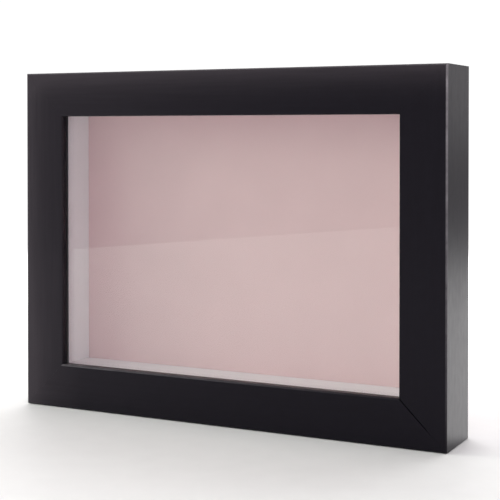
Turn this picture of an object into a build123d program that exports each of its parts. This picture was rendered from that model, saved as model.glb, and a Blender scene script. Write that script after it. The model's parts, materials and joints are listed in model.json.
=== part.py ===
from build123d import *
import os

# A landscape shadow box: four mitred, rabbeted rails hold a pane of glass, a liner of four
# spacer walls, a display mat, a filler board and a backing board, one behind the other.
# Turn buttons on the back of the rails keep the backing board in. The front faces -Y, the
# box stands on its bottom rail at Z = 0, and the origin is at the bottom centre of its bounds.
# All sizes are in millimetres.

# ---- driving dimensions -------------------------------------------------------------------
display_width = 178.0          # nominal size of the glass and of the boards
display_height = 127.0
display_overlap = 5.0          # how far the lip covers each edge of the display
board_play = 0.5               # gap between a board and the rabbet on each side

face_width = 20.5              # front face of a rail
moulding_depth = 31.0          # front to back of a rail
lip_thickness = 4.0            # front lip that the glass bears on
front_arris = 0.65             # rounding of the outer front edge
sight_arris = 0.5              # rounding of the edge round the glass
back_round = 2.0               # rounding of the outer back edge

glass_thickness = 2.0
mat_thickness = 1.5
filler_thickness = 4.0
backing_thickness = 2.5
spacer_thickness = 5.2

corner_nail_insets = (5.0, 10.0)   # points of the two V-nails, in from both outer edges
corner_nail_leg = 5.0
corner_nail_thickness = 0.6
corner_nail_height = 10.0
corner_nail_recess = 0.3

long_rail_button_offset = 52.0     # buttons on a long rail, each side of its middle
button_pivot_inset = 8.5           # pivot screws, in from the outer edge of the rail
button_clearance = 0.2             # air between a button and the back of the rail
button_thickness = 1.0
button_eye_radius = 5.0            # round end on the screw
button_tip_radius = 3.2            # round end on the backing board
button_reach = 13.0                # centre of the eye to centre of the tip
button_bend = 11.0                 # where the tip starts to lift, from the pivot
button_lift = 1.2                  # how far the lifted tip rises
pivot_clearance = 0.05             # radial, between a button and its screw

point_radius = 0.15                # blunt end of a screw or a brad
screw_shank_radius = 1.5
screw_grip = 12.0                  # straight shank inside the wood
screw_point = 3.0
screw_head_radius = 3.0
screw_head_height = 1.6
screw_head_round = 1.0
screw_head_gap = 0.1               # air between a button and the head above it
screw_recess_length = 3.4
screw_recess_width = 0.7
screw_recess_depth = 0.9

hanger_length = 44.0
hanger_width = 8.0
hanger_thickness = 0.8
hanger_tab = 8.0                   # flat end that is nailed down
hanger_ramp = 2.0
hanger_rise = 1.4                  # air behind the toothed middle
hanger_inset = 7.5                 # its centre line, down from the top edge
hanger_corner = 2.0
tooth_count = 9
tooth_pitch = 2.4
tooth_depth = 1.6

brad_radius = 0.6
brad_head_radius = 1.6
brad_head_height = 0.7
brad_head_round = 0.5
brad_length = 9.0                  # inside the wood
brad_point = 1.2
brad_clearance = 0.05

bumper_radius = 5.0
bumper_foot_radius = 4.3
bumper_height = 3.5
bumper_inset = 9.5                 # from the outer edges of the corner it sits in

# ---- derived sizes ------------------------------------------------------------------------
sight_width = display_width - 2 * display_overlap
sight_height = display_height - 2 * display_overlap
outer_width = sight_width + 2 * face_width
outer_height = sight_height + 2 * face_width
rabbet_width = display_width + 2 * board_play
rabbet_height = display_height + 2 * board_play
wall_thickness = (outer_width - rabbet_width) / 2

total_depth = moulding_depth + bumper_height
front_y = -total_depth / 2
back_y = front_y + moulding_depth
glass_y = front_y + lip_thickness
spacer_y = glass_y + glass_thickness
backing_y = back_y - backing_thickness
filler_y = backing_y - filler_thickness
mat_y = filler_y - mat_thickness
spacer_depth = mat_y - spacer_y

centre_z = outer_height / 2
rabbet_floor = wall_thickness
button_y = back_y + button_clearance
screw_head_y = button_y + button_thickness + screw_head_gap

# The back of the rails, seen from behind: local x runs to -X, local y up, local z outwards.
back_plane = Plane(origin=(0, back_y, 0), x_dir=(-1, 0, 0), z_dir=(0, 1, 0))

# Where each turn button's screw stands, and which way its tip points when it is closed.
button_x = outer_width / 2 - button_pivot_inset
button_top_z = outer_height - button_pivot_inset
button_seats = {
    "turn_button_top_left": ((-long_rail_button_offset, button_top_z), (0, -1)),
    "turn_button_top_right": ((long_rail_button_offset, button_top_z), (0, -1)),
    "turn_button_bottom_left": ((-long_rail_button_offset, button_pivot_inset), (0, 1)),
    "turn_button_bottom_right": ((long_rail_button_offset, button_pivot_inset), (0, 1)),
    "turn_button_left": ((-button_x, centre_z), (1, 0)),
    "turn_button_right": ((button_x, centre_z), (-1, 0)),
}
screw_places = [(-x, z) for (x, z), _ in button_seats.values()]

hanger_z = outer_height - hanger_inset
brad_offset = (hanger_length - hanger_tab) / 2
brad_places = [(-brad_offset, hanger_z), (brad_offset, hanger_z)]

os.makedirs("parts", exist_ok=True)


def save(piece, label):
    """Labels a finished piece and writes it to its own file."""
    piece.part.label = label
    export_step(piece.part, f"parts/{label}.step")


def draw_corner_nails():
    """Draws the V-nails in the current sketch: an L across each mitre, its point outwards."""
    for side_x in (-1, 1):
        for side_z in (-1, 1):
            toward_x = Align.MAX if side_x > 0 else Align.MIN
            toward_z = Align.MAX if side_z > 0 else Align.MIN
            for inset in corner_nail_insets:
                x = side_x * (outer_width / 2 - inset)
                z = centre_z + side_z * (outer_height / 2 - inset)
                with Locations((x, z)):
                    Rectangle(corner_nail_leg, corner_nail_thickness, align=(toward_x, toward_z))
                    Rectangle(corner_nail_thickness, corner_nail_leg, align=(toward_x, toward_z))


# ---- rails --------------------------------------------------------------------------------
# Each plane stands at the middle of a rail's outer front edge: local x points into the frame,
# local y to the back, and local z along the rail.
rail_seats = {
    "top_rail": (Plane((0, front_y, outer_height), (0, 0, -1), (1, 0, 0)), outer_width),
    "bottom_rail": (Plane((0, front_y, 0), (0, 0, 1), (-1, 0, 0)), outer_width),
    "left_rail": (Plane((-outer_width / 2, front_y, centre_z), (1, 0, 0), (0, 0, 1)), outer_height),
    "right_rail": (Plane((outer_width / 2, front_y, centre_z), (-1, 0, 0), (0, 0, -1)), outer_height),
}

for rail_name, (rail_plane, rail_length) in rail_seats.items():
    with BuildPart() as rail:
        with BuildSketch(rail_plane) as section:
            with BuildLine():
                Polyline(
                    (0, 0),
                    (face_width, 0),
                    (face_width, lip_thickness),
                    (wall_thickness, lip_thickness),
                    (wall_thickness, moulding_depth),
                    (0, moulding_depth),
                    close=True,
                )
            make_face()
            fillet(section.vertices().group_by(Axis.Y)[0].sort_by(Axis.X)[0], front_arris)
            fillet(section.vertices().group_by(Axis.Y)[0].sort_by(Axis.X)[-1], sight_arris)
            fillet(section.vertices().group_by(Axis.Y)[-1].sort_by(Axis.X)[0], back_round)
        extrude(amount=rail_length / 2, both=True)
        # The two mitres run inwards at 45 degrees from the ends of the outer edge.
        for end in (-1, 1):
            mitre_point = rail_plane.from_local_coords((0, 0, end * rail_length / 2))
            mitre_normal = rail_plane.x_dir + rail_plane.z_dir * end
            split(bisect_by=Plane(mitre_point, z_dir=mitre_normal), keep=Keep.BOTTOM)
        with BuildSketch(back_plane):
            draw_corner_nails()
        extrude(amount=-(corner_nail_height + corner_nail_recess), mode=Mode.SUBTRACT)
        with BuildSketch(back_plane):
            with Locations(*screw_places):
                Circle(screw_shank_radius)
        extrude(amount=-(screw_grip + screw_point), mode=Mode.SUBTRACT)
        with BuildSketch(back_plane):
            with Locations(*brad_places):
                Circle(brad_radius)
        extrude(amount=-brad_length, mode=Mode.SUBTRACT)
    save(rail, rail_name)

with BuildPart() as corner_v_nails:
    with BuildSketch(back_plane.offset(-corner_nail_recess)):
        draw_corner_nails()
    extrude(amount=-corner_nail_height)
save(corner_v_nails, "corner_v_nails")

# ---- glass, liner and boards --------------------------------------------------------------
# Every sheet stands on the floor of the rabbet and takes its play at the top.
sheet_seats = {
    "glazing_pane": (glass_y, glass_thickness),
    "display_mat": (mat_y, mat_thickness),
    "filler_board": (filler_y, filler_thickness),
    "backing_board": (backing_y, backing_thickness),
}
upright = Plane(origin=(0, 0, rabbet_floor), x_dir=(1, 0, 0), z_dir=(0, -1, 0))

for sheet_name, (sheet_front, sheet_thickness) in sheet_seats.items():
    with BuildPart() as sheet:
        with BuildSketch(upright.offset(-sheet_front)):
            Rectangle(display_width, display_height, align=(Align.CENTER, Align.MIN))
        extrude(amount=-sheet_thickness)
    save(sheet, sheet_name)

# The long spacer walls run the whole width, and the short ones stand between them.
spacer_length = rabbet_width - 2 * board_play
spacer_height = rabbet_height - 2 * spacer_thickness
side_spacer_x = spacer_length / 2 - spacer_thickness / 2
spacer_seats = {
    "spacer_bottom": ((0, spacer_thickness / 2), (spacer_length, spacer_thickness)),
    "spacer_top": ((0, rabbet_height - spacer_thickness / 2), (spacer_length, spacer_thickness)),
    "spacer_left": ((-side_spacer_x, rabbet_height / 2), (spacer_thickness, spacer_height)),
    "spacer_right": ((side_spacer_x, rabbet_height / 2), (spacer_thickness, spacer_height)),
}

for spacer_name, (spacer_centre, spacer_size) in spacer_seats.items():
    with BuildPart() as spacer:
        with BuildSketch(upright.offset(-spacer_y)):
            with Locations(spacer_centre):
                Rectangle(*spacer_size)
        extrude(amount=-spacer_depth)
    save(spacer, spacer_name)

# ---- turn buttons and their screws --------------------------------------------------------
# A button is a steel strip with a round eye and a round tip, lifted at the tip for a finger.
for button_name, ((pivot_x, pivot_z), (reach_x, reach_z)) in button_seats.items():
    pivot = (pivot_x, button_y, pivot_z)
    lie = Plane(origin=pivot, x_dir=(reach_x, 0, reach_z), z_dir=(0, 1, 0))
    edge_on = Plane(origin=pivot, x_dir=lie.x_dir, z_dir=-lie.y_dir)
    button_end = button_reach + button_tip_radius
    with BuildPart() as button:
        with BuildSketch(edge_on):
            with BuildLine():
                Polyline(
                    (-button_eye_radius, 0),
                    (button_bend, 0),
                    (button_end, button_lift),
                    (button_end, button_lift + button_thickness),
                    (button_bend, button_thickness),
                    (-button_eye_radius, button_thickness),
                    close=True,
                )
            make_face()
        extrude(amount=button_eye_radius, both=True)
        with BuildSketch(lie):
            Circle(button_eye_radius)
            with Locations((button_reach, 0)):
                Circle(button_tip_radius)
            make_hull()
        extrude(amount=button_lift + button_thickness, mode=Mode.INTERSECT)
        with BuildSketch(lie):
            Circle(screw_shank_radius + pivot_clearance)
        extrude(amount=button_thickness, mode=Mode.SUBTRACT)
    save(button, button_name)

# One pan-head screw with its head's underside at Z = 0 and its point downwards.
screw_shank_end = -(button_clearance + button_thickness + screw_head_gap + screw_grip)
with BuildPart() as screw:
    with BuildSketch(Plane.XY):
        Circle(screw_head_radius)
    extrude(amount=screw_head_height)
    fillet(screw.edges().sort_by(Axis.Z)[-1], radius=screw_head_round)
    with BuildSketch(Plane.XY.offset(screw_head_height)):
        Rectangle(screw_recess_length, screw_recess_width)
        Rectangle(screw_recess_width, screw_recess_length)
    extrude(amount=-screw_recess_depth, mode=Mode.SUBTRACT)
    with BuildSketch(Plane.XY):
        Circle(screw_shank_radius)
    extrude(amount=screw_shank_end)
    with Locations((0, 0, screw_shank_end)):
        Cone(point_radius, screw_shank_radius, screw_point, align=(Align.CENTER, Align.CENTER, Align.MAX))

screw_seat_plane = back_plane.offset(screw_head_y - back_y)
with BuildPart() as turn_button_screws:
    with Locations(*[screw_seat_plane * Location((x, z, 0)) for x, z in screw_places]):
        add(screw.part)
save(turn_button_screws, "turn_button_screws")

# ---- sawtooth hanger and its brads --------------------------------------------------------
hanger_lie = Plane(origin=(0, back_y, hanger_z), x_dir=(-1, 0, 0), z_dir=(0, 1, 0))
hanger_edge_on = Plane(origin=hanger_lie.origin, x_dir=hanger_lie.x_dir, z_dir=-hanger_lie.y_dir)
hanger_half = hanger_length / 2
tooth_side = (tooth_pitch**2 / 4 + tooth_depth**2) ** 0.5
ramp_start = hanger_half - hanger_tab
ramp_end = ramp_start - hanger_ramp

with BuildPart() as sawtooth_hanger:
    with BuildSketch(hanger_edge_on):
        with BuildLine():
            Polyline(
                (-hanger_half, 0),
                (-ramp_start, 0),
                (-ramp_end, hanger_rise),
                (ramp_end, hanger_rise),
                (ramp_start, 0),
                (hanger_half, 0),
                (hanger_half, hanger_thickness),
                (ramp_start, hanger_thickness),
                (ramp_end, hanger_rise + hanger_thickness),
                (-ramp_end, hanger_rise + hanger_thickness),
                (-ramp_start, hanger_thickness),
                (-hanger_half, hanger_thickness),
                close=True,
            )
        make_face()
    extrude(amount=hanger_width / 2, both=True)
    with BuildSketch(hanger_lie):
        RectangleRounded(hanger_length, hanger_width, hanger_corner)
    extrude(amount=hanger_rise + hanger_thickness, mode=Mode.INTERSECT)
    with BuildSketch(hanger_lie):
        with Locations((0, -hanger_width / 2)):
            with GridLocations(tooth_pitch, 0, tooth_count, 1):
                Triangle(a=tooth_pitch, b=tooth_side, c=tooth_side, align=(Align.CENTER, Align.MIN))
    extrude(amount=hanger_rise + hanger_thickness, mode=Mode.SUBTRACT)
    with BuildSketch(hanger_lie):
        with Locations((-brad_offset, 0), (brad_offset, 0)):
            Circle(brad_radius + brad_clearance)
    extrude(amount=hanger_thickness, mode=Mode.SUBTRACT)
save(sawtooth_hanger, "sawtooth_hanger")

# One brad with its head's underside at Z = 0 and its point downwards.
brad_shank_end = -(hanger_thickness + brad_length - brad_point)
with BuildPart() as brad:
    with BuildSketch(Plane.XY):
        Circle(brad_head_radius)
    extrude(amount=brad_head_height)
    fillet(brad.edges().sort_by(Axis.Z)[-1], radius=brad_head_round)
    with BuildSketch(Plane.XY):
        Circle(brad_radius)
    extrude(amount=brad_shank_end)
    with Locations((0, 0, brad_shank_end)):
        Cone(point_radius, brad_radius, brad_point, align=(Align.CENTER, Align.CENTER, Align.MAX))

brad_seat_plane = back_plane.offset(hanger_thickness)
with BuildPart() as hanger_brads:
    with Locations(*[brad_seat_plane * Location((x, z, 0)) for x, z in brad_places]):
        add(brad.part)
save(hanger_brads, "hanger_brads")

# ---- wall bumpers -------------------------------------------------------------------------
# A soft button in each lower corner of the back holds the box plumb off the wall.
bumper_x = outer_width / 2 - bumper_inset
bumper_edge = bumper_radius - bumper_foot_radius
for bumper_name, side_x in (("bumper_left", -1), ("bumper_right", 1)):
    with BuildPart() as bumper:
        with BuildSketch(back_plane):
            with Locations((-side_x * bumper_x, bumper_inset)):
                Circle(bumper_radius)
        extrude(amount=bumper_height)
        chamfer(bumper.edges().sort_by(Axis.Y)[-1], length=bumper_edge)
    save(bumper, bumper_name)
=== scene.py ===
import json
import math

import bmesh
import bpy
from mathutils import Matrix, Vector


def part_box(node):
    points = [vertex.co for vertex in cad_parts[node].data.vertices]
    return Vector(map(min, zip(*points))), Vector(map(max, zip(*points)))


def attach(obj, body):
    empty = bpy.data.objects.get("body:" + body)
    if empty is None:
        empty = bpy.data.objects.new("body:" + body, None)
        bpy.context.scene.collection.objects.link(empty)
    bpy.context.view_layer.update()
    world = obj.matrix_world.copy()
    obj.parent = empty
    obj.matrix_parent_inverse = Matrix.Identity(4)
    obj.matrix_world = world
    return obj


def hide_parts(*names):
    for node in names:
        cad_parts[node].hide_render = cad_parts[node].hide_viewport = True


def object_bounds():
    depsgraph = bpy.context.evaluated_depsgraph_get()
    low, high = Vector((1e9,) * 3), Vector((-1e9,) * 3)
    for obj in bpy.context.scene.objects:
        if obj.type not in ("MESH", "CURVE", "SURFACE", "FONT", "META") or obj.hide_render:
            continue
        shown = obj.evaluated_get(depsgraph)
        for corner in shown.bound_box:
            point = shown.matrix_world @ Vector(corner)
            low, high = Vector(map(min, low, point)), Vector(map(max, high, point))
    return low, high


# Looks of a landscape shadow box on a pale table: black lacquered rails, a pane of glass, white
# foam board walls, a pink mat at the back, and zinc plated hardware on the rear.
# Lengths are in metres. The front faces -Y and the box stands on Z = 0.

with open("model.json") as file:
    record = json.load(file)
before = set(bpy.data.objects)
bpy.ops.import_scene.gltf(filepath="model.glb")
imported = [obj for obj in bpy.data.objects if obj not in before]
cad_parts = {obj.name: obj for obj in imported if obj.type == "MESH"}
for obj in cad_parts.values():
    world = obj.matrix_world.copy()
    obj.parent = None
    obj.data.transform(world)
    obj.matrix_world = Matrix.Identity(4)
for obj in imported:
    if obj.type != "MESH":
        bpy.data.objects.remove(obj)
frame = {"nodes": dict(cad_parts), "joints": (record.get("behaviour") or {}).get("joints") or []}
cad_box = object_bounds()

MM = 0.001
WHITE = (1.0, 1.0, 1.0)

# ---- rails --------------------------------------------------------------------------------
# The section is drawn with u inwards from the outer edge and v backwards from the front.
LIP = 4.0 * MM                  # thickness of the rail in front of the glass
FRONT_ARRIS = 0.65 * MM         # radii of the section's rounded edges
SIGHT_ARRIS = 0.7 * MM
BACK_ROUND = 2.0 * MM
HIDDEN_ARRIS = 0.15 * MM
ARRIS_STEPS = 6
BACK_STEPS = 12
HIDDEN_STEPS = 2
CROWN_WIDTH = 9.0 * MM          # the face falls away to its outer edge over this width
CROWN_DROP = 0.18 * MM
CROWN_STEPS = 10
RAIL_SHARP = math.radians(25.0)     # edges that turn by more are shaded sharp
MITRE_CHAMFER = 0.02 * MM       # closed joints, filled with lacquer
OPEN_CHAMFER = 0.12 * MM        # the lower right joint, where it is open
OPEN_MITRE = 0.6 * MM           # its gap
OPEN_MITRE_START = 7.0 * MM     # where the gap starts, in from the outer edge
OPEN_MITRE_FULL = 10.0 * MM     # where it has its full width
OPEN_ENDS = {"bottom_rail": 1, "right_rail": -1}    # the ends that meet there
# Painted highlight on the front outer arris and the sight arris: how much of it lies at the start
# and the end of each rail (left to right, bottom to top).
HIGHLIGHT_MARGIN = 0.25 * MM         # how far the painted highlight reaches past an arris
NO_HIGHLIGHT = (0.0, 0.0)
PAINTED_FRONT_HIGHLIGHT = {
    "top_rail": (0.21, 0.21),
    "bottom_rail": NO_HIGHLIGHT,
    "left_rail": (0.21, 0.21),
    "right_rail": (0.0, 0.95),
}
PAINTED_SIGHT_HIGHLIGHT = {"bottom_rail": (0.34, 0.04)}

# ---- other pieces -------------------------------------------------------------------------
# Each has the shape of its CAD node with its edges rounded: node, piece, width of the rounding,
# its steps, and slot. The turn buttons are named by their joints.
BOARDS_AND_HARDWARE = (
    ("glazing_pane", "glass_sheet", 0.25 * MM, 2, "clear_glass"),
    ("display_mat", "pink_mat", 0.15 * MM, 3, "pink_board"),
    ("filler_board", "filler_sheet", 0.15 * MM, 3, "kraft_board"),
    ("backing_board", "back_sheet", 0.3 * MM, 3, "hardboard"),
    ("spacer_top", "wall_top", 0.2 * MM, 3, "white_foam_board"),
    ("spacer_bottom", "wall_bottom", 0.2 * MM, 3, "white_foam_board"),
    ("spacer_left", "wall_left", 0.2 * MM, 3, "white_foam_board"),
    ("spacer_right", "wall_right", 0.2 * MM, 3, "white_foam_board"),
    ("turn_button_screws", "button_screws", 0.08 * MM, 3, "zinc_plated_steel"),
    ("sawtooth_hanger", "toothed_hanger", 0.1 * MM, 3, "zinc_plated_steel"),
    ("hanger_brads", "hanger_brad_heads", 0.05 * MM, 3, "zinc_plated_steel"),
    ("corner_v_nails", "corner_nail_strips", 0.08 * MM, 3, "blued_steel"),
)
BUTTON_ROUNDING = 0.18 * MM
BUTTON_STEPS = 3
BUMPERS = (
    ("bumper_left", "bumper_left_button", 0.4 * MM, 3, "bumper_rubber"),
    ("bumper_right", "bumper_right_button", 0.4 * MM, 3, "bumper_rubber"),
)
WELD = 0.001 * MM               # vertices nearer than this are one
FLAT_TURN = math.radians(1.0)   # faces that turn by less are merged
ROUND_TURN = math.radians(30.0)     # edges that turn by more are rounded
PIECE_SHARP = math.radians(40.0)    # edges that still turn by more are shaded sharp

# ---- colours ------------------------------------------------------------------------------
# Each pair is the darkest and the palest tone, without gloss.
LOW, HIGH = 0.3, 0.7            # nearly all of a noise's values lie between these
CORE_LOW, CORE_HIGH = 0.35, 0.65    # and most of them between these
RAIL_STEP = 10.0                # sets the noise of one rail apart from the next one's
MIX_FIRST, MIX_SECOND, MIX_RESULT = 6, 7, 2     # the colour sockets of a Mix node
LACQUER = ((0.0031, 0.0029, 0.0052), (0.0047, 0.0045, 0.0077))
LACQUER_TINT = (1.0, 0.90, 0.99, 1.0)       # of its reflections
LACQUER_ROUGHNESS = (0.27, 0.37)
# The colour of the painted highlight on the arrises.
HIGHLIGHT_PAINT = (0.24, 0.225, 0.24)
HIGHLIGHT_PATCHES = (0.6, 1.0)     # how thickly the painted highlight lies, from patch to patch
PINK = ((0.775, 0.535, 0.555), (0.815, 0.565, 0.585))
FOAM_PAPER = ((0.84, 0.80, 0.835), (0.87, 0.83, 0.865))
KRAFT = ((0.30, 0.21, 0.13), (0.42, 0.31, 0.20))
ZINC = ((0.27, 0.28, 0.29), (0.40, 0.41, 0.42))
BLUED = ((0.10, 0.11, 0.14), (0.22, 0.23, 0.26))
RUBBER = ((0.018, 0.018, 0.019), (0.03, 0.03, 0.032))
TABLE_TOP = ((0.785, 0.785, 0.78), (0.805, 0.805, 0.80))
HARDBOARD = (                   # three tones, each with its place among the noise's values
    (0.38, (0.050, 0.026, 0.014)),
    (0.5, (0.105, 0.058, 0.032)),
    (0.64, (0.19, 0.112, 0.064)),
)
GLASS = (0.985, 0.995, 0.99, 1.0)
GLASS_SHADOW = (0.9, 0.92, 0.91, 1.0)       # the light that comes through to what is behind

# Painted sheen, pale light painted on the face: bands along its top and its left edge, a broad
# part that grows to the left, and a foot in the lower left corner. Each has its greatest share of
# the colour.
PAINTED_SHEEN = (0.0345, 0.0295, 0.0350)
SHEEN_STREAKS = (0.9, 1.12)     # the streaks of the lacquer show faintly in it
BAND_WIDTH = 20.5 * MM
BAND_POWER = 3.0
TOP_SHARE = 1.0
LEFT_SHARE = 0.66
BROAD_POWER = 2.0
BROAD_SHARE = 0.4
BROAD_THIN = 0.45               # what is left of the broad part below BROAD_LOW
BROAD_LOW = 20 * MM
BROAD_HIGH = 60 * MM
FOOT_SHARE = 0.42
FOOT_NEAR = 4 * MM              # from the box's left edge, full nearer and none further
FOOT_FAR = 32 * MM
FOOT_LOW = 25 * MM              # heights, full below and none above
FOOT_HIGH = 78 * MM
SHEEN_FULL_DEPTH = 1.0 * MM     # back from the front, full nearer and none further
SHEEN_END_DEPTH = 3.0 * MM

# ---- studio -------------------------------------------------------------------------------
# Camera, at the height of the upper part of the box and to its right.
CAMERA_PLACE = (0.2608, -0.5016, 0.1305)
CAMERA_YAW = math.radians(26.87)
CAMERA_PITCH = math.radians(0.86)
CAMERA_LENS = 89.83             # millimetres, as the sensor's width
CAMERA_SENSOR = 36.0
CAMERA_SHIFT = -0.20
CAMERA_NEAR = 0.01

# Table: a rectangle turned with the camera. Its left edge shows in the glass.
TABLE_TURN = math.radians(24.3)
TABLE_LEFT = 0.766
TABLE_RIGHT = 0.53
TABLE_FRONT = 1.6
TABLE_BACK = 1.6
TABLE_DROP = 0.3 * MM           # the box touches the table only here and there
# The table glows behind the box and to its right, to everything but the camera.
TABLE_GLOW = 1.12
GLOW_WAY = (math.sqrt(0.5), math.sqrt(0.5), 0.0)
GLOW_START = 0.03
GLOW_END = 0.06
# Distances from the box's middle between which the table turns white for the camera, and then
# exactly as bright as the room, so that the box's outline has no step at the horizon.
FADE_START = 0.3
FADE_END = 0.6
BLANK_END = 0.9

ROOM_SEEN = 1.05                # the room's strength for the camera
ROOM_COLOUR = (1.0, 0.94, 0.97)     # and its colour and strengths for everything else
ROOM_LIGHT = 0.93
ROOM_DARK = 0.48
ROOM_DARK_WAY = (0.31, 0.95, 0.0)   # the dark side, behind the box and a little to its right
DARK_START = 0.3                # how directly a ray goes that way where the dark starts
DARK_END = 0.9                  # and where it is full
ROOM_FLOOR = 0.65               # the room below the horizon, beside what is above it
FLOOR_END = -0.03               # the slopes between which the floor turns to wall
WALL_START = 0.03

# Softboxes: place, what they aim at, size, watts, colour, and whether reflections show them.
# The key and the left one would glare along the top of the box.
BOX_MIDDLE = (0.0, 0.0, 0.08)
BOX_FOOT = (0.0, 0.0, 0.0)
SOFTBOXES = {
    "back_softbox": ((-0.17, 0.85, 1.1), BOX_FOOT, (1.6, 1.0), 15.4, WHITE, True),
    "key_softbox": ((-1.2, -0.8, 0.62), BOX_MIDDLE, (1.1, 0.8), 4.6, (0.60, 1.0, 0.82), False),
    "left_softbox": ((-1.3, -0.25, 0.35), BOX_MIDDLE, (0.6, 0.6), 9.8, (1.0, 0.98, 0.87), False),
    "right_softbox": ((1.3, -0.35, 0.3), BOX_MIDDLE, (0.5, 0.5), 0.9, (0.82, 0.92, 1.0), True),
    "far_softbox": ((0.75, 1.6, 0.5), BOX_MIDDLE, (1.2, 0.8), 1.4, WHITE, True),
}


# ---- node trees ---------------------------------------------------------------------------
class Nodes:
    """Short calls that add nodes to a tree and link them."""

    def __init__(self, tree):
        self.tree = tree

    def node(self, kind, inputs=None, **settings):
        """A new node. inputs are values or links by socket, and settings its own properties."""
        made = self.tree.nodes.new(kind)
        for name, value in settings.items():
            setattr(made, name, value)
        for name, value in (inputs or {}).items():
            self.put(made.inputs[name], value)
        return made

    def put(self, socket, value):
        if isinstance(value, bpy.types.NodeSocket):
            self.tree.links.new(value, socket)
        else:
            socket.default_value = value

    def maths(self, operation, first, second):
        return self.node("ShaderNodeMath", {0: first, 1: second}, operation=operation).outputs[0]

    def along(self, vector, way):
        """How far the vector goes along way."""
        return self.node(
            "ShaderNodeVectorMath", {0: vector, 1: way}, operation="DOT_PRODUCT"
        ).outputs["Value"]

    def spread(self, value, low, high, start=0.0, end=1.0, interpolation="LINEAR"):
        """value from start..end mapped to low..high, and level beyond."""
        return self.node(
            "ShaderNodeMapRange",
            {"Value": value, "From Min": start, "From Max": end, "To Min": low, "To Max": high},
            interpolation_type=interpolation,
        ).outputs["Result"]

    def ramp(self, value, start, end):
        """0 at start, 1 at end, straight between and level beyond. start may be above end."""
        if start > end:
            return self.spread(value, 1.0, 0.0, end, start)
        return self.spread(value, 0.0, 1.0, start, end)

    def eased(self, value, start, end, low=0.0, high=1.0):
        """low up to start, high from end, and an S curve between."""
        return self.spread(value, low, high, start, end, "SMOOTHSTEP")

    def mix_shader(self, share, first, second):
        """first where share is 0 and second where it is 1."""
        return self.node("ShaderNodeMixShader", {0: share, 1: first, 2: second}).outputs[0]


class Shader(Nodes):
    """A node material with a Principled shader. Values that are the same all over the surface
    are given by the names of their sockets, with _ for spaces."""

    def __init__(self, name, **values):
        self.material = bpy.data.materials.new(name)
        self.material.use_nodes = True
        super().__init__(self.material.node_tree)
        self.principled = self.tree.nodes["Principled BSDF"]
        for socket, value in values.items():
            self.principled.inputs[socket.replace("_", " ")].default_value = value

    def drive(self, socket, value):
        self.put(self.principled.inputs[socket], value)

    def drive_surface(self, shader):
        self.put(self.tree.nodes["Material Output"].inputs["Surface"], shader)

    def ray(self, kind):
        """1 for rays of a kind, such as "Is Camera Ray", and 0 for the others."""
        return self.node("ShaderNodeLightPath").outputs[kind]

    def place(self):
        """Position in metres, which turns with the piece's body."""
        return self.node("ShaderNodeTexCoord").outputs["Object"]

    def noise(self, vector, stretch, detail=3.0, roughness=0.55):
        """Noise of 0..1 whose lumps are about 1/stretch metres long on each axis."""
        scaled = self.node("ShaderNodeVectorMath", {0: vector, 1: stretch}, operation="MULTIPLY")
        return self.node(
            "ShaderNodeTexNoise",
            {
                "Vector": scaled.outputs[0],
                "Scale": 1.0,
                "Detail": detail,
                "Roughness": roughness,
                "Distortion": 0.0,
            },
        ).outputs["Fac"]

    def grain(self, fineness, detail=3.0, roughness=0.55):
        """Noise of the same fineness on all three axes."""
        return self.noise(self.place(), (fineness, fineness, fineness), detail, roughness)

    def rail_noise(self, along, across, detail):
        """Noise laid out along the rails, different on each of them."""
        spot = self.node("ShaderNodeAttribute", attribute_name="grain").outputs["Vector"]
        return self.noise(spot, (along, across, RAIL_STEP), detail)

    def shares(self, first, second, share=0.5):
        """share of first and the rest of second."""
        return self.maths(
            "ADD",
            self.maths("MULTIPLY", first, share),
            self.maths("MULTIPLY", second, 1.0 - share),
        )

    def colours(self, value, stops):
        ramp = self.node("ShaderNodeValToRGB", {"Fac": value})
        elements = ramp.color_ramp.elements
        while len(elements) < len(stops):
            elements.new(1.0)
        for element, (position, colour) in zip(elements, stops):
            element.position = position
            element.color = (*colour, 1.0)
        return ramp.outputs["Color"]

    def two_tone(self, value, tones):
        """From the first tone to the second, over the usual range of a noise."""
        return self.colours(value, tuple(zip((LOW, HIGH), tones)))

    def mix_colour(self, amount, first, second):
        mixer = self.node("ShaderNodeMix", data_type="RGBA")
        self.put(mixer.inputs["Factor"], amount)
        self.put(mixer.inputs[MIX_FIRST], first)
        self.put(mixer.inputs[MIX_SECOND], second)
        return mixer.outputs[MIX_RESULT]

    def bump(self, height, distance, strength):
        normal = self.node(
            "ShaderNodeBump", {"Height": height, "Distance": distance, "Strength": strength}
        ).outputs["Normal"]
        self.drive("Normal", normal)


# ---- meshes -------------------------------------------------------------------------------
def new_piece(name, mesh, body, material, replaced):
    """Adds a finished mesh as a piece that rides on a body in place of a CAD node."""
    piece = bpy.data.objects.new(name, mesh)
    bpy.context.scene.collection.objects.link(piece)
    mesh.materials.clear()
    mesh.materials.append(material)
    # Large faces keep their own normals, so that flats stay flat beside small roundings.
    weighing = piece.modifiers.new("face_normals", "WEIGHTED_NORMAL")
    weighing.mode = "FACE_AREA"
    weighing.keep_sharp = True
    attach(piece, body)
    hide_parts(replaced)


def smooth_but_edges(mesh, sharp_angle):
    """Shades smooth, apart from edges that turn by more than sharp_angle."""
    shell = bmesh.new()
    shell.from_mesh(mesh)
    for face in shell.faces:
        face.smooth = True
    for edge in shell.edges:
        edge.smooth = len(edge.link_faces) == 2 and edge.calc_face_angle(0) < sharp_angle
    shell.to_mesh(mesh)
    shell.free()


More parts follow.
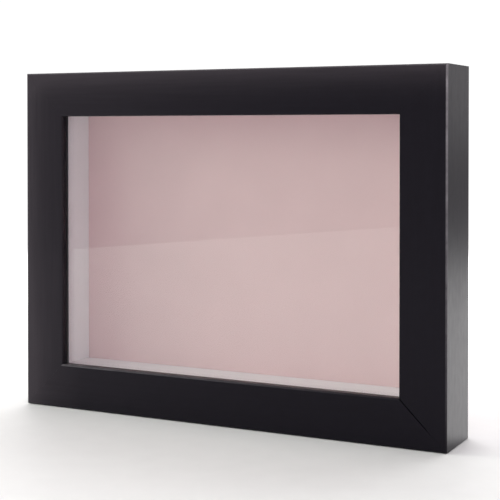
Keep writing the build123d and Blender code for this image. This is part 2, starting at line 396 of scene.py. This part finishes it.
def rounded_piece(node, name, width, steps, slot, material, body="case"):
    """A piece with the CAD node's shape and its edges rounded."""
    shell = bmesh.new()
    shell.from_mesh(frame["nodes"][node].data)
    bmesh.ops.remove_doubles(shell, verts=shell.verts, dist=WELD)
    bmesh.ops.dissolve_limit(shell, angle_limit=FLAT_TURN, verts=shell.verts, edges=shell.edges)
    bmesh.ops.bevel(
        shell,
        geom=[edge for edge in shell.edges if edge.calc_face_angle(0) > ROUND_TURN],
        offset=width,
        offset_type="OFFSET",
        segments=steps,
        profile=0.5,
        affect="EDGES",
        clamp_overlap=True,
    )
    mesh = bpy.data.meshes.new(name)
    shell.to_mesh(mesh)
    shell.free()
    smooth_but_edges(mesh, PIECE_SHARP)
    new_piece(name, mesh, body, material, node)


def corner_arc(centre, radius, start, end, steps):
    """Points of an arc round a corner of the section, from angle start to end in degrees."""
    points = []
    for step in range(steps + 1):
        angle = math.radians(start + (end - start) * step / steps)
        points.append((centre[0] + radius * math.cos(angle), centre[1] + radius * math.sin(angle)))
    return points


def rail_section(face_width, wall, depth):
    """The rail's section as (u, v, arris), from the front outer arris to the outer side."""
    front = corner_arc(
        (FRONT_ARRIS, FRONT_ARRIS + CROWN_DROP), FRONT_ARRIS, 180, 270, ARRIS_STEPS
    )
    section = [(0.0, FRONT_ARRIS + CROWN_DROP + HIGHLIGHT_MARGIN, "")]
    section += [(u, v, "front") for u, v in front]
    # The face falls away to its outer edge in a shallow crown.
    run = CROWN_WIDTH - FRONT_ARRIS
    for step in range(1, CROWN_STEPS + 1):
        u = FRONT_ARRIS + run * (step / CROWN_STEPS) ** 2
        section.append((u, CROWN_DROP * ((CROWN_WIDTH - u) / run) ** 2, ""))
    section.append((face_width - SIGHT_ARRIS - HIGHLIGHT_MARGIN, 0.0, ""))
    sight = corner_arc(
        (face_width - SIGHT_ARRIS, SIGHT_ARRIS), SIGHT_ARRIS, 270, 360, ARRIS_STEPS
    )
    section += [(u, v, "sight") for u, v in sight]
    section.append((face_width, SIGHT_ARRIS + HIGHLIGHT_MARGIN, ""))
    lip_corner = (face_width - HIDDEN_ARRIS, LIP - HIDDEN_ARRIS)
    wall_corner = (wall - HIDDEN_ARRIS, depth - HIDDEN_ARRIS)
    hidden = corner_arc(lip_corner, HIDDEN_ARRIS, 0, 90, HIDDEN_STEPS)
    hidden.append((wall, LIP))
    hidden += corner_arc(wall_corner, HIDDEN_ARRIS, 0, 90, HIDDEN_STEPS)
    hidden += corner_arc((BACK_ROUND, depth - BACK_ROUND), BACK_ROUND, 90, 180, BACK_STEPS)
    return section + [(u, v, "") for u, v in hidden]


def openness(u):
    """0..1: how far the lower right joint has opened at u."""
    return min(1.0, max(0.0, (u - OPEN_MITRE_START) / (OPEN_MITRE_FULL - OPEN_MITRE_START)))


def shrunk(section, distances):
    """The section with every point moved in along its own normal."""
    moved = []
    for i, ((u, v, arris), distance) in enumerate(zip(section, distances)):
        before = Vector(section[i - 1][:2])
        after = Vector(section[(i + 1) % len(section)][:2])
        run = (after - before).normalized()
        moved.append((u - run.y * distance, v + run.x * distance, arris))
    return moved


def rail(name, seat, number, material):
    """One mitred rail swept along its seat: (origin, inwards, along, half length)."""
    origin, inwards, along, half = seat
    low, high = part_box(name)
    face_width = min(high.x - low.x, high.z - low.z)
    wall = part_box("backing_board")[0].z     # the rail is this thick beside the rabbet
    section = rail_section(face_width, wall, high.y - low.y)
    # How much painted highlight each kind of arris gets.
    highlight_by_arris = {"": NO_HIGHLIGHT, "front": PAINTED_FRONT_HIGHLIGHT[name], "sight": PAINTED_SIGHT_HIGHLIGHT.get(name, NO_HIGHLIGHT)}
    backwards = Vector((0, 1, 0))
    shell = bmesh.new()
    grain = shell.verts.layers.float_vector.new("grain")
    # Each vertex carries the strength of the painted highlight.
    painted_highlight = shell.verts.layers.float.new("painted_highlight")
    rings = []
    for end in (-1, 1):
        is_open = end == OPEN_ENDS.get(name)
        gaps = [openness(u) if is_open else 0.0 for u, v, arris in section]
        chamfers = [MITRE_CHAMFER + (OPEN_CHAMFER - MITRE_CHAMFER) * gap for gap in gaps]
        # A chamfered end: a shrunk rim on the joint, and the full section a chamfer behind it.
        rims = [(shrunk(section, chamfers), [0.0] * len(section)), (section, chamfers)]
        for rim, retreats in rims if end < 0 else reversed(rims):
            ring = []
            for (u, v, arris), retreat, gap in zip(rim, retreats, gaps):
                t = end * (half - u - retreat - gap * OPEN_MITRE / 2)
                vert = shell.verts.new(origin + inwards * u + backwards * v + along * t)
                vert[grain] = (t, u + v, number)
                vert[painted_highlight] = highlight_by_arris[arris][end > 0]
                ring.append(vert)
            rings.append(ring)
    count = len(section)
    for first, second in zip(rings, rings[1:]):
        for i in range(count):
            j = (i + 1) % count
            shell.faces.new((first[i], first[j], second[j], second[i]))
    shell.faces.new(reversed(rings[0]))
    shell.faces.new(rings[-1])
    bmesh.ops.recalc_face_normals(shell, faces=shell.faces)
    mesh = bpy.data.meshes.new(name + "_lacquered")
    shell.to_mesh(mesh)
    shell.free()
    smooth_but_edges(mesh, RAIL_SHARP)
    new_piece(name + "_lacquered", mesh, "case", material, name)


def rail_seats():
    """Where each rail's outer front edge runs: (origin, inwards, along, half length)."""
    low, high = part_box("bottom_rail")
    front, left, right = low.y, low.x, high.x
    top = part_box("top_rail")[1].z
    across, tall = (right - left) / 2, top / 2
    x, z = Vector((1, 0, 0)), Vector((0, 0, 1))
    middle = Vector((0, front, 0))
    return {
        "top_rail": (middle + z * top, -z, x, across),
        "bottom_rail": (middle, z, x, across),
        "left_rail": (middle + x * left + z * tall, x, z, tall),
        "right_rail": (middle + x * right + z * tall, -x, z, tall),
    }


# ---- materials ----------------------------------------------------------------------------
def painted_sheen_cover(s, spot):
    """0..1: the painted sheen on the lacquer, densest along the top and left edges of the box."""
    low, high = cad_box
    x, z = spot["X"], spot["Z"]
    top = s.maths("POWER", s.ramp(z, high.z - BAND_WIDTH, high.z), BAND_POWER)
    left = s.maths("POWER", s.ramp(x, low.x + BAND_WIDTH, low.x), BAND_POWER)
    broad = s.maths("POWER", s.ramp(x, high.x, low.x), BROAD_POWER)
    broad = s.maths("MULTIPLY", broad, s.spread(z, BROAD_THIN, 1.0, BROAD_LOW, BROAD_HIGH))
    foot = s.maths(
        "MULTIPLY", s.ramp(x, low.x + FOOT_FAR, low.x + FOOT_NEAR), s.ramp(z, FOOT_HIGH, FOOT_LOW)
    )
    cover = s.maths("MULTIPLY", foot, FOOT_SHARE)
    for band, share in ((top, TOP_SHARE), (left, LEFT_SHARE), (broad, BROAD_SHARE)):
        cover = s.maths("ADD", cover, s.maths("MULTIPLY", band, share))
    return cover


def black_lacquer():
    """Satin black lacquer: faint streaks along the rail, an orange peel skin, a painted highlight
    on the arrises, and a thin painted sheen on the face."""
    s = Shader("black_lacquer", Specular_IOR_Level=0.14, Specular_Tint=LACQUER_TINT)
    streaks = s.rail_noise(along=25.0, across=700.0, detail=4.0)
    mottle = s.rail_noise(along=180.0, across=320.0, detail=5.0)
    tone = s.shares(streaks, mottle)
    black = s.two_tone(tone, LACQUER)
    spot = s.node("ShaderNodeSeparateXYZ", {"Vector": s.place()}).outputs
    # Painted sheen on the face, paler along its top and left edges.
    front = cad_box[0].y
    on_face = s.ramp(spot["Y"], front + SHEEN_END_DEPTH, front + SHEEN_FULL_DEPTH)
    cover = s.maths("MULTIPLY", painted_sheen_cover(s, spot), on_face)
    cover = s.maths("MULTIPLY", cover, s.spread(streaks, *SHEEN_STREAKS, CORE_LOW, CORE_HIGH))
    sheened = s.mix_colour(cover, black, (*PAINTED_SHEEN, 1.0))
    # Painted highlight on the arrises, laid on in patches.
    painted_highlight = s.node("ShaderNodeAttribute", attribute_name="painted_highlight").outputs["Fac"]
    highlight_amount = s.maths("MULTIPLY", painted_highlight, s.spread(mottle, *HIGHLIGHT_PATCHES, CORE_LOW, CORE_HIGH))
    s.drive("Base Color", s.mix_colour(highlight_amount, sheened, (*HIGHLIGHT_PAINT, 1.0)))
    s.drive("Roughness", s.spread(tone, *LACQUER_ROUGHNESS, LOW, HIGH))
    peel = s.rail_noise(along=2200.0, across=2200.0, detail=2.0)
    s.bump(peel, distance=0.004 * MM, strength=0.6)
    return s.material


def clear_glass():
    """Clear float glass; lamps reach what is behind it."""
    s = Shader(
        "clear_glass", Base_Color=GLASS, Roughness=0.0, IOR=1.5, Transmission_Weight=1.0
    )
    clear = s.node("ShaderNodeBsdfTransparent", {"Color": GLASS_SHADOW}).outputs[0]
    s.drive_surface(s.mix_shader(s.ray("Is Shadow Ray"), s.principled.outputs[0], clear))
    return s.material


def pink_board():
    """Matt pink paper on board, with a fine fibre."""
    s = Shader("pink_board", Specular_IOR_Level=0.3)
    fibre = s.grain(900.0, detail=6.0, roughness=0.7)
    cloud = s.grain(45.0)
    s.drive("Base Color", s.two_tone(s.shares(fibre, cloud, 0.4), PINK))
    s.drive("Roughness", s.spread(fibre, 0.75, 0.92))
    s.bump(fibre, distance=0.02 * MM, strength=0.35)
    return s.material


def white_foam_board():
    """White paper on foam, with a fine tooth."""
    s = Shader("white_foam_board", Specular_IOR_Level=0.35)
    paper = s.grain(600.0, detail=5.0, roughness=0.65)
    s.drive("Base Color", s.two_tone(paper, FOAM_PAPER))
    s.drive("Roughness", s.spread(paper, 0.5, 0.65))
    s.bump(paper, distance=0.01 * MM, strength=0.4)
    return s.material


def hardboard():
    """Brown fibre board: dark and pale flecks over level and upright fibres."""
    s = Shader("hardboard", Specular_IOR_Level=0.3)
    fleck = s.grain(900.0, detail=6.0, roughness=0.8)
    level = s.noise(s.place(), (260.0, 900.0, 1500.0), detail=4.0, roughness=0.7)
    upright = s.noise(s.place(), (1500.0, 900.0, 260.0), detail=4.0, roughness=0.7)
    s.drive("Base Color", s.colours(s.shares(fleck, s.shares(level, upright)), HARDBOARD))
    s.drive("Roughness", s.spread(fleck, 0.5, 0.8))
    s.bump(fleck, distance=0.03 * MM, strength=0.6)
    return s.material


def kraft_board():
    """Grey-brown filler board."""
    s = Shader("kraft_board", Specular_IOR_Level=0.3)
    fleck = s.grain(1100.0, detail=6.0, roughness=0.7)
    s.drive("Base Color", s.two_tone(fleck, KRAFT))
    s.drive("Roughness", s.spread(fleck, 0.7, 0.95))
    s.bump(fleck, distance=0.02 * MM, strength=0.5)
    return s.material


def zinc_plated_steel():
    """Zinc plating with faint clouds and fine scratches."""
    s = Shader("zinc_plated_steel", Metallic=1.0)
    cloud = s.grain(350.0, detail=4.0)
    scratch = s.noise(s.place(), (6000.0, 500.0, 900.0))
    s.drive("Base Color", s.two_tone(cloud, ZINC))
    s.drive("Roughness", s.spread(s.shares(cloud, scratch), 0.30, 0.48, LOW, HIGH))
    s.bump(scratch, distance=0.003 * MM, strength=0.5)
    return s.material


def blued_steel():
    """Dark steel of the V-nails."""
    s = Shader("blued_steel", Metallic=1.0)
    cloud = s.grain(900.0, detail=4.0)
    s.drive("Base Color", s.two_tone(cloud, BLUED))
    s.drive("Roughness", s.spread(cloud, 0.35, 0.6))
    return s.material


def bumper_rubber():
    """Soft dark grey rubber."""
    s = Shader("bumper_rubber", Specular_IOR_Level=0.5)
    grain = s.grain(1800.0)
    s.drive("Base Color", s.two_tone(grain, RUBBER))
    s.drive("Roughness", s.spread(grain, 0.45, 0.65))
    s.bump(grain, distance=0.01 * MM, strength=0.4)
    return s.material


def pale_table():
    """Matt white table top that glows behind the box, and is white to the camera further out."""
    s = Shader("pale_table", Specular_IOR_Level=0.25, Emission_Color=(*WHITE, 1.0))
    grain = s.grain(90.0)
    s.drive("Base Color", s.two_tone(grain, TABLE_TOP))
    s.drive("Roughness", s.spread(grain, 0.5, 0.6))
    spot = s.place()
    away = s.node("ShaderNodeVectorMath", {0: spot}, operation="LENGTH").outputs["Value"]
    seen = s.ray("Is Camera Ray")
    unseen = s.maths("SUBTRACT", 1.0, seen)
    glow = s.eased(s.along(spot, GLOW_WAY), GLOW_START, GLOW_END, 0.0, TABLE_GLOW)
    white = s.eased(away, FADE_START, FADE_END)
    emission = s.maths(
        "ADD", s.maths("MULTIPLY", seen, white), s.maths("MULTIPLY", unseen, glow)
    )
    s.drive("Emission Strength", emission)
    blank = s.maths("MULTIPLY", seen, s.eased(away, FADE_END, BLANK_END))
    plain = s.node("ShaderNodeEmission", {"Strength": ROOM_SEEN}).outputs[0]
    s.drive_surface(s.mix_shader(blank, s.principled.outputs[0], plain))
    return s.material


# ---- studio -------------------------------------------------------------------------------
def add_camera():
    data = bpy.data.cameras.new("camera")
    data.lens = CAMERA_LENS
    data.sensor_width = CAMERA_SENSOR
    data.shift_y = CAMERA_SHIFT
    data.clip_start = CAMERA_NEAR
    camera = bpy.data.objects.new("camera", data)
    camera.location = CAMERA_PLACE
    camera.rotation_euler = (math.pi / 2 - CAMERA_PITCH, 0.0, CAMERA_YAW)
    bpy.context.scene.collection.objects.link(camera)
    bpy.context.scene.camera = camera


def add_softbox(name, place, aim, size, power, colour, in_reflections):
    data = bpy.data.lights.new(name, "AREA")
    data.shape = "RECTANGLE"
    data.size, data.size_y = size
    data.energy = power
    data.color = colour
    lamp = bpy.data.objects.new(name, data)
    lamp.location = place
    lamp.rotation_euler = (Vector(aim) - Vector(place)).to_track_quat("-Z", "Y").to_euler()
    lamp.visible_camera = False
    lamp.visible_glossy = in_reflections
    bpy.context.scene.collection.objects.link(lamp)


def add_table():
    corners = [
        (-TABLE_LEFT, -TABLE_FRONT, 0.0),
        (TABLE_RIGHT, -TABLE_FRONT, 0.0),
        (TABLE_RIGHT, TABLE_BACK, 0.0),
        (-TABLE_LEFT, TABLE_BACK, 0.0),
    ]
    mesh = bpy.data.meshes.new("table")
    mesh.from_pydata(corners, [], [(0, 1, 2, 3)])
    table = bpy.data.objects.new("table", mesh)
    table.rotation_euler.z = TABLE_TURN
    table.location.z = -TABLE_DROP
    bpy.context.scene.collection.objects.link(table)
    mesh.materials.append(pale_table())


def add_world():
    """A white room to the camera; to everything else a dimmer one, darkest behind the box, and
    darker again below the horizon."""
    world = bpy.data.worlds.new("studio")
    world.use_nodes = True
    bpy.context.scene.world = world
    n = Nodes(world.node_tree)
    way = n.node("ShaderNodeTexCoord").outputs["Generated"]
    height = n.node("ShaderNodeSeparateXYZ", {"Vector": way}).outputs["Z"]
    wall = n.eased(n.along(way, ROOM_DARK_WAY), DARK_START, DARK_END, ROOM_LIGHT, ROOM_DARK)
    floor = n.eased(height, FLOOR_END, WALL_START, ROOM_FLOOR, 1.0)
    room = n.tree.nodes["Background"]
    n.put(room.inputs["Color"], (*ROOM_COLOUR, 1.0))
    n.put(room.inputs["Strength"], n.maths("MULTIPLY", wall, floor))
    seen = n.node("ShaderNodeBackground", {"Color": (*WHITE, 1.0), "Strength": ROOM_SEEN})
    camera_ray = n.node("ShaderNodeLightPath").outputs["Is Camera Ray"]
    shown = n.mix_shader(camera_ray, room.outputs[0], seen.outputs[0])
    n.put(n.tree.nodes["World Output"].inputs["Surface"], shown)


# ---- the scene ----------------------------------------------------------------------------
add_camera()
add_table()
add_world()
for lamp_name, facts in SOFTBOXES.items():
    add_softbox(lamp_name, *facts)
bpy.context.scene.view_settings.view_transform = "Standard"

materials = {
    "black_lacquer": black_lacquer(),
    "clear_glass": clear_glass(),
    "pink_board": pink_board(),
    "kraft_board": kraft_board(),
    "hardboard": hardboard(),
    "white_foam_board": white_foam_board(),
    "blued_steel": blued_steel(),
    "zinc_plated_steel": zinc_plated_steel(),
    "bumper_rubber": bumper_rubber(),
}
for number, (rail_name, seat) in enumerate(rail_seats().items()):
    rail(rail_name, seat, number, materials["black_lacquer"])
for facts in BOARDS_AND_HARDWARE:
    rounded_piece(*facts, materials[facts[-1]])
for joint in frame["joints"]:
    button = joint["child"]
    rounded_piece(
        button,
        button + "_plate",
        BUTTON_ROUNDING,
        BUTTON_STEPS,
        "zinc_plated_steel",
        materials["zinc_plated_steel"],
        body=button,
    )
for facts in BUMPERS:
    rounded_piece(*facts, materials[facts[-1]])
